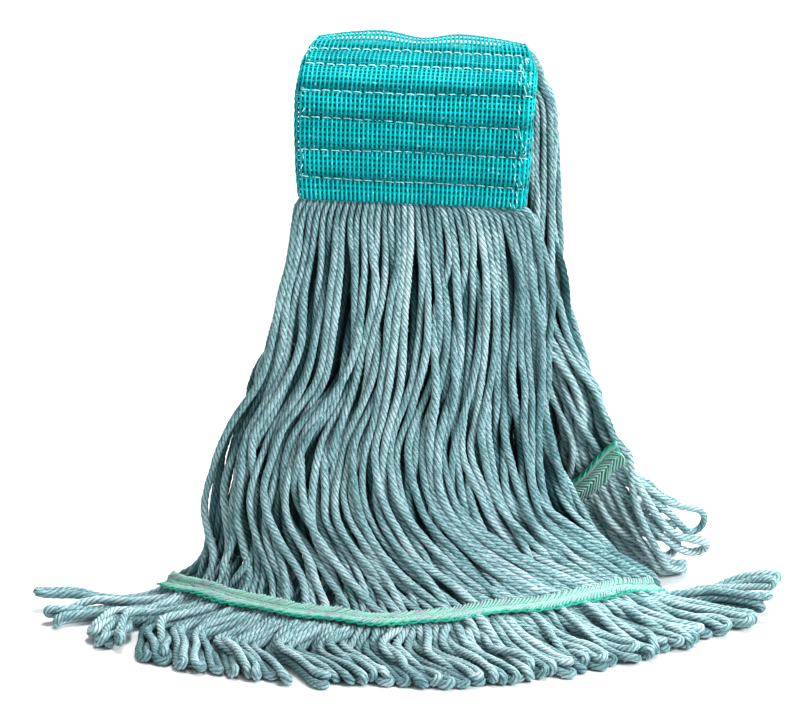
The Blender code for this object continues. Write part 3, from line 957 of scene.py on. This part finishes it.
def loose_fibres(name, settled, seed):
    """Short curled fibres that stand off the yarn, most of them on its outer strands."""
    rng = np.random.default_rng(seed)
    lines, outwards, depth, thick, edge, lit = settled
    tangents, first, second = transported(lines)
    loop = (len(lines) * rng.uniform(size=FIBRES) ** 2.5).astype(int)
    at = rng.integers(3, lines.shape[1] - 3, FIBRES)
    angle = rng.uniform(0, TAU, (FIBRES, 1))
    radial = np.cos(angle) * first[loop, at] + np.sin(angle) * second[loop, at]
    along = tangents[loop, at] * rng.choice((-1.0, 1.0), (FIBRES, 1))
    curl = rng.normal(size=(FIBRES, 3)) * 0.35
    long = rng.uniform(2.0, 6.5, (FIBRES, 1, 1)) * MM
    share = np.linspace(0, 1, FIBRE_POINTS)[None, :, None]
    root = lines[loop, at] + radial * 0.85 * YARN_RADIUS
    course = share * (0.55 * radial + 0.7 * along)[:, None] + share ** 2 * curl[:, None]
    hairs = root[:, None] + long * course
    hairs[..., 2] = np.maximum(hairs[..., 2], 3 * FLOOR_GAP)
    radii = rng.uniform(0.05, 0.09, (FIBRES, 1)) * MM * (1 - 0.6 * share[..., 0])
    made = tube_rings(hairs, radii, FIBRE_SIDES)
    facing = (radial * outwards[loop, at]).sum(-1)
    deep = depth[loop, at] - YARN_RADIUS * facing
    values = {
        "lit": lit[loop, at],
        "fibre": rng.uniform(0, 400, (FIBRES, 3)),
        "tone": rng.normal(size=FIBRES),
        "crest": np.ones(FIBRES),
        "shade": shade_at(deep, thick[loop, at], edge[loop, at], lit[loop, at]),
    }
    each = FIBRE_POINTS * FIBRE_SIDES
    attributes = {key: np.repeat(value, each, axis=0) for key, value in values.items()}
    return mesh_piece(name, made, tube_quads(FIBRES, FIBRE_POINTS, FIBRE_SIDES), YARN, attributes)


def hang_yarn(made, side, bundles):
    """Takes a piece of yarn's transform into its mesh and hides the CAD bundles that it stands in for.
    """
    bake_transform(made)
    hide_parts(*(f"{side}_yarns_{number}" for number in bundles))


def dress_skirt(skirt, seed):
    """The outer layer's loops one by one, the inner layers' by bundle, and the loose fibres."""
    side = skirt.side
    settled = skirt_loops(skirt, seed)
    bundle_of = np.arange(LOOPS) * BUNDLES // LOOPS + 1
    for number in range(LOOPS):
        one = (values[number:number + 1] for values in settled)
        made, centres = yarn_tubes(f"{side}_loop_{number + 1:02d}", *one, seed * 100 + number)
        hang_yarn(made, side, [bundle_of[number]])
    inner_bundle = np.tile(bundle_of, LAYERS - 1)
    for bundle in range(1, BUNDLES + 1):
        chosen = (values[LOOPS:][inner_bundle == bundle] for values in settled)
        made, _ = yarn_tubes(f"{side}_inner_loops_{bundle}", *chosen, seed * 1000 + bundle)
        hang_yarn(made, side, [bundle])
    hang_yarn(loose_fibres(f"{side}_loose_fibres", settled, seed * 10), side, range(1, BUNDLES + 1))


# ---------------------------------------------------------------- the headband


def wrap_line():
    """The wrapped strip seen from above, evenly spaced: x, depth and which way is out."""
    edge = BAND_WIDTH / 2 - FOLD
    front, back = STRIP / 2, BAND_THICK - STRIP / 2
    under = front + STRIP + LAP_GAP
    reach = FOLD - STRIP / 2
    turn = np.linspace(0, math.pi, 25)

    def rounded(x, near, far, out):
        return np.stack([x + out * np.sin(turn), (near + far) / 2 + (near - far) / 2 * np.cos(turn)], 1)

    return np.concatenate([
        [(edge - LAP, under)],
        rounded(edge, under, back, reach),
        rounded(-edge, back, front, -reach),
        [(edge + 1.5 * MM, front - 0.3 * MM)],
    ])


def wrapped(count):
    """Evenly spaced x and depth round the wrapped strip, and its whole length."""
    line = wrap_line()
    along = np.concatenate([[0], np.cumsum(np.linalg.norm(np.diff(line, axis=0), axis=1))])
    wanted = np.linspace(0, along[-1], count)
    x = np.interp(wanted, along, line[:, 0])
    depth = np.interp(wanted, along, line[:, 1])
    return x, depth, along[-1]


def sleeve_point(x, depth, up):
    """A point of the quilted sleeve. Depths are measured in the unquilted band."""
    x, depth, up = np.broadcast_arrays(x, depth, up)
    swell = quilting(x, up)
    middle = BAND_THICK / 2
    squeezed = middle + (depth - middle) * (1 + swell / middle)
    # The top hem's front layer stands up a little, in waves.
    near_edge = 1 - smooth_step((BAND_LENGTH - up) / (13 * MM))
    wave = spline(TOP_HEM_WAVE, (x / BAND_WIDTH + 0.5) * (len(TOP_HEM_WAVE) - 1))
    lifted = np.where(depth < middle, near_edge * -wave * MM, 0)
    return on_band(x, up, squeezed + lifted)


def flat_tubes(lines, outs, wide, thick, sides):
    """Flattened ribs: rings that are wide along the cloth and thin across it."""
    tangents = tangents_of(lines)
    outs = unit(outs - tangents * (outs * tangents).sum(-1, keepdims=True))
    side = np.cross(tangents, outs)
    angle = TAU * (np.arange(sides) + 0.5) / sides
    return (
        lines[:, :, None, :]
        + (wide / 2) * np.cos(angle)[None, None, :, None] * side[:, :, None, :]
        + (thick / 2) * np.sin(angle)[None, None, :, None] * outs[:, :, None, :]
    )


def out_of_cloth(grid):
    """Normals of a grid of points (ribs, stations, 3)."""
    return unit(np.cross(np.gradient(grid, axis=0), np.gradient(grid, axis=1)))


def roll_shade(x, up):
    """Painted light and shade on the sleeve's rolls: dimmer just above each row of stitches, brighter
    below it.
    """
    x, up = np.broadcast_arrays(x, up)
    heights = np.stack([row_height(row, x) for row in range(ROWS)])
    above = np.where(up[None] >= heights, up[None] - heights, 1.0).min(0)
    least = 0.35 + 0.35 * smooth_step((up - 70 * MM) / (30 * MM))
    light = np.clip(least + 0.7 * smooth_step(above / (11 * MM)) + 0.5 * (up < heights[0]), 0, 1)
    # The top faces the lamps, so painted shade darkens it a little.
    return light * (1 - 0.35 * smooth_step((up - 84 * MM) / (30 * MM)))


def make_headband():
    """The open mesh: upright ribs that weave over and under the cross ribs behind them."""
    pitch_across, pitch_up = 2.8 * MM, 3.15 * MM
    stations, sides, weave_depth = 66, 6, 0.22 * MM
    around = wrapped(2)[-1]
    ribs = int(round(around / pitch_across))
    x, depth = (values[:, None] for values in wrapped(ribs)[:2])
    up = np.linspace(0.3 * MM, BAND_LENGTH, stations)[None]
    grid = sleeve_point(x, depth, up)
    normal = out_of_cloth(grid)
    weave = weave_depth * np.cos(TAU * up / pitch_up / 2 + math.pi * (np.arange(ribs)[:, None] % 2))
    upright = flat_tubes(grid + normal * weave[..., None], normal, 1.7 * MM, 0.8 * MM, sides)
    # Painted shade along the upright ribs, which dims them in waves at the pitch of the cross ribs.
    painted_bead_shade = 0.82 + 0.18 * np.cos(TAU * up / pitch_up)
    lit_up = roll_shade(x, up) * painted_bead_shade
    rows = int(round(BAND_LENGTH / pitch_up))
    columns = ribs * 2
    x, depth = (values[None] for values in wrapped(columns)[:2])
    up = np.linspace(0.8 * MM, BAND_LENGTH - 0.5 * MM, rows)[:, None]
    grid = sleeve_point(x, depth, up)
    normal = -out_of_cloth(grid)
    across = flat_tubes(grid - normal * weave_depth, normal, 1.8 * MM, 0.6 * MM, sides)
    lit = np.concatenate([np.repeat(lit_up, sides), np.repeat(roll_shade(x, up), sides)])
    points = np.concatenate([upright.reshape(-1, 3), across.reshape(-1, 3)])
    quads_up = tube_quads(ribs, stations, sides)
    quads_across = tube_quads(rows, columns, sides) + upright.size // 3
    quads = np.concatenate([quads_up, quads_across])
    index = np.repeat((0, 1), (len(quads_up), len(quads_across)))
    selvage = 2 * len(quads_across) // rows  # the lowest two cross ribs
    index[len(quads_up):][:selvage] = 2
    ribs_looks = [RIB_UP, RIB_ACROSS, RIB_EDGE]
    made = mesh_piece("headband_open_mesh", points, quads, ribs_looks, {"shade": lit}, index)
    fix_on(made, "headband", "headband_mesh")


def make_mat():
    """The yarn inside the sleeve: a front and a back layer of strands."""
    strands, stations, sides = 34, 60, 8
    x = (np.linspace(-1, 1, strands) * (BAND_WIDTH / 2 - 6.5 * MM))[:, None]
    up = np.linspace(0 * MM, BAND_LENGTH + 4 * MM, stations)[None]
    swell = quilting(x, np.minimum(up, BAND_LENGTH))
    middle = BAND_THICK / 2
    layers = []
    for depth in (3.6 * MM, BAND_THICK - 3.6 * MM):
        layers.append(on_band(x, up, middle + (depth - middle) * (1 + 0.8 * swell / middle)))
    lines = np.concatenate(layers)
    rings = tube_rings(lines, np.full(lines.shape[:2], 2.3 * MM), sides)
    made = mesh_piece("band_yarn", rings, tube_quads(len(lines), stations, sides), MAT)
    fix_on(made, "headband", "yarn_core")


def make_stitches(name, node, depth, seed):
    """Rows of separate stitches, each a short thread that dips in at both ends."""
    rng = np.random.default_rng(seed)
    lines = []
    step = 6.6 * MM
    points, sides = 9, 6
    share = np.linspace(0, 1, points)
    arch = 1 - (2 * share - 1) ** 4
    out = -1 if depth < BAND_THICK / 2 else 1
    edge = BAND_WIDTH / 2 - 5 * MM
    for row in range(ROWS):
        x0 = -BAND_WIDTH / 2 + 4 * MM
        while x0 < BAND_WIDTH / 2 - 8 * MM:
            long = step * rng.uniform(0.74, 0.84)
            x = x0 + long * share
            drop = 0.6 * MM * smooth_step((share - 0.75) / 0.25)
            up = row_height(row, x) - drop + rng.normal() * 0.15 * MM
            lines.append(sleeve_point(x, depth + out * (arch * 1.0 * MM), up))
            x0 += step * rng.uniform(0.95, 1.05)
    in_rows = len(lines)
    # The thread's turns from row to row at alternate edges, and on the front its loose bits near
    # the right edge.
    for row in range(ROWS - 1):
        side = 1 if row % 2 else -1
        for _ in range(6):
            low = row_height(row, side * edge)
            up = low + ROW_PITCH * rng.uniform(0.02, 0.98)
            up = up + 1.6 * MM * (share - 0.5) * rng.uniform(-1, 2)
            x = side * edge - side * rng.uniform(-1.2, 1) * MM
            x = x + 1.5 * MM * (share - 0.5) * rng.uniform(-1, 1)
            lines.append(sleeve_point(x, depth + out * 0.8 * MM * arch, up))
    for _ in range(40 if out < 0 else 0):
        x = rng.uniform(63, 69) * MM + 0.9 * MM * share
        up = rng.uniform(0.02, 0.85) * BAND_LENGTH - 2.6 * MM * share
        lines.append(sleeve_point(x, depth + out * 0.9 * MM * arch, up))
    lines = np.stack(lines)
    radii = np.full(lines.shape[:2], 0.27 * MM)
    radii[:in_rows] = 0.42 * MM
    rings = tube_rings(lines, radii, sides)
    made = mesh_piece(name, rings, tube_quads(len(lines), points, sides), SEAM)
    fix_on(made, "headband", node)


# ---------------------------------------------------------------- the tailbands


TAPE_HALF = {"front": 6.4 * MM, "back": 5.6 * MM}
TAPE_LONG = {"front": 386 * MM, "back": 300 * MM}


def tape_place(skirt, across, down, out, inner):
    """A point on a tailband: a share across, a distance below its middle line, a height off it."""
    if skirt.side == "back" and not inner:
        across = -1 + (across + 1) * 0.965  # the inner tape reaches further to the right
    level = skirt.tail + down / (12.5 * MM)
    normal = skirt.outward(level, across)
    base = skirt.place(level, across)
    if inner:
        places = base - normal * (skirt.thickness(level) + 0.6 * MM + out)[..., None]
    else:
        places = base + normal * (1.0 * MM + out)[..., None]
    places[..., 2] = np.maximum(places[..., 2], 0.8 * MM)
    return places


def hang_wave(across, seed):
    """How far a tailband hangs up and down along its length."""
    return 0.9 * MM * np.sin(across * 9 + seed) + 0.5 * MM * np.sin(across * 23 + 2 * seed)


def make_tailband(skirt, inner, seed):
    """One tape: a thin closed strip with three rows of long slanted stitches on it."""
    face = "inner" if inner else "outer"
    rng = np.random.default_rng(seed)
    half = TAPE_HALF[skirt.side]
    long = TAPE_LONG[skirt.side]
    name = f"{skirt.side}_tape_{face}"
    columns, strip_sides = 120, 8
    across = np.linspace(-1, 1, columns)
    wave = hang_wave(across, seed)
    angle = TAU * np.arange(strip_sides) / strip_sides
    down = wave[:, None] + half * np.cos(angle)[None, :]
    out = 0.35 * MM * np.sin(angle)[None, :] + 0.2 * MM
    ground = tape_place(skirt, across[:, None], down, out, inner)
    cloth = mesh_piece(name, ground, tube_quads(1, columns, strip_sides), TAPE_GROUND)
    # The stitches lean the other way in the middle row.
    rows, pitch, points, sides = 3, 5.0 * MM, 5, 6
    stitches = int(long / pitch)
    share = np.linspace(-1, 1, points)
    lines = []
    kinds = []
    for row in range(rows):
        centre = -half + (row + 0.5) * 2 * half / rows
        for leg in (-1, 1):
            at = (np.arange(stitches) + 0.5 + 0.25 * leg) / stitches * 2 - 1
            at = at + rng.normal(size=stitches) * 0.0012
            slant = 1.5 * pitch / (long / 2)
            place = at[:, None] + share[None, :] * slant * 0.5
            drop = centre + share[None, :] * 1.05 * (1 if row % 2 else -1) * half / rows
            drop = drop + np.interp(place, across, wave) + rng.normal(size=(stitches, 1)) * 0.2 * MM
            rise = 0.75 * MM - 0.45 * MM * share[None, :] ** 2
            rise = rise + rng.normal(size=(stitches, 1)) * 0.06 * MM
            lines.append(tape_place(skirt, np.clip(place, -1, 1), drop, rise, inner))
            kinds.append(rng.uniform(size=stitches) < 0.24)
    lines = np.concatenate(lines)
    fleck = np.concatenate(kinds)
    rings = tube_rings(lines, np.full(lines.shape[:2], 0.6 * MM), sides)
    quads = tube_quads(len(lines), points, sides)
    kind = np.repeat(fleck, len(quads) // len(lines))
    loops = mesh_piece(f"{name}_loops", rings, quads, [TAPE_LOOP, TAPE_FLECK], (), kind)
    for made in (cloth, loops):
        fix_on(made, f"{skirt.side}_skirt", f"{skirt.side}_tailband_{face}")


def make_edge_thread(skirt, seed):
    """A cord of two twisted threads along one edge of each of a tailband's tapes."""
    rng = np.random.default_rng(seed)
    count, sides = 260, 6
    across = np.linspace(-1, 1, count)
    wave = hang_wave(across, seed)
    edge = (TAPE_HALF[skirt.side] + 0.4 * MM) * skirt.facing
    lines = []
    for strand, inner in ((0, False), (1, False), (0, True), (1, True)):
        turn = TAU * np.arange(count) / 9 + math.pi * strand
        down = edge + wave + 0.6 * MM * np.cos(turn) + rng.normal(size=count) * 0.12 * MM
        rise = 1.1 * MM + 0.5 * MM * np.sin(turn)
        lines.append(tape_place(skirt, across, down, rise, inner))
    lines = np.stack(lines)
    rings = tube_rings(lines, np.full(lines.shape[:2], 0.65 * MM), sides)
    made = mesh_piece(f"{skirt.side}_edge_cord", rings, tube_quads(len(lines), count, sides), EMERALD)
    fix_on(made, f"{skirt.side}_skirt", f"{skirt.side}_tailband_edge_thread")


# ---------------------------------------------------------------- camera, floor and light


def make_camera():
    """A long lens a little above the mop head."""
    view_width = 518.4 * MM  # how much the view takes in across, at the headband
    distance = 4.0
    elevation = math.radians(18)
    aim = Vector((-7.8 * MM, BAND_FRONT, 178.3 * MM))
    data = bpy.data.cameras.new("camera")
    data.sensor_width = 36
    data.lens = data.sensor_width * distance / view_width
    camera = in_scene("camera", data)
    away = Vector((0, -math.cos(elevation), math.sin(elevation)))
    camera.location = aim + away * distance
    camera.rotation_euler = (math.pi / 2 - elevation, 0, 0)
    bpy.context.scene.camera = camera


def area_light(name, place, size, power):
    """A square lamp that faces the middle of the mop head."""
    data = bpy.data.lights.new(name, "AREA")
    data.shape = "RECTANGLE"
    data.size = data.size_y = size
    data.energy = power
    lamp = in_scene(name, data)
    lamp.location = place
    lamp.rotation_euler = (Vector((0, 0, 0.17)) - Vector(place)).to_track_quat("-Z", "Y").to_euler()


def make_studio():
    half = 6.0
    corners = [(-half, -half, 0), (half, -half, 0), (half, half, 0), (-half, half, 0)]
    mesh = bpy.data.meshes.new("floor")
    mesh.from_pydata(corners, [], [(0, 1, 2, 3)])
    n = Nodes("pale_floor")
    mesh.materials.append(n.finish((0.86, 0.86, 0.86, 1), 0.9))
    in_scene("floor", mesh)
    world = bpy.data.worlds.new("studio")
    world.use_nodes = True
    sky = world.node_tree.nodes["Background"].inputs
    sky["Color"].default_value = WHITE
    sky["Strength"].default_value = 0.4
    bpy.context.scene.world = world
    area_light("key", (2.8, -1.8, 2.1), 1.0, 122)
    area_light("fill", (-1.6, -1.2, 0.9), 1.4, 1)
    area_light("top", (0.3, 0.5, 2.2), 1.0, 42)
    view = bpy.context.scene.view_settings
    view.view_transform = "Standard"
    view.exposure = 0.42
    view.gamma = 0.82


make_camera()
make_studio()
make_headband()
make_mat()
make_stitches("front_stitches", "headband_needle_thread", 0.0, 11)
make_stitches("back_stitches", "headband_bobbin_thread", BAND_THICK, 12)
dress_skirt(FRONT, 5)
dress_skirt(BACK, 6)
for skirt, seed in ((FRONT, 21), (BACK, 23)):
    make_tailband(skirt, False, seed)
    make_tailband(skirt, True, seed)
    make_edge_thread(skirt, seed)
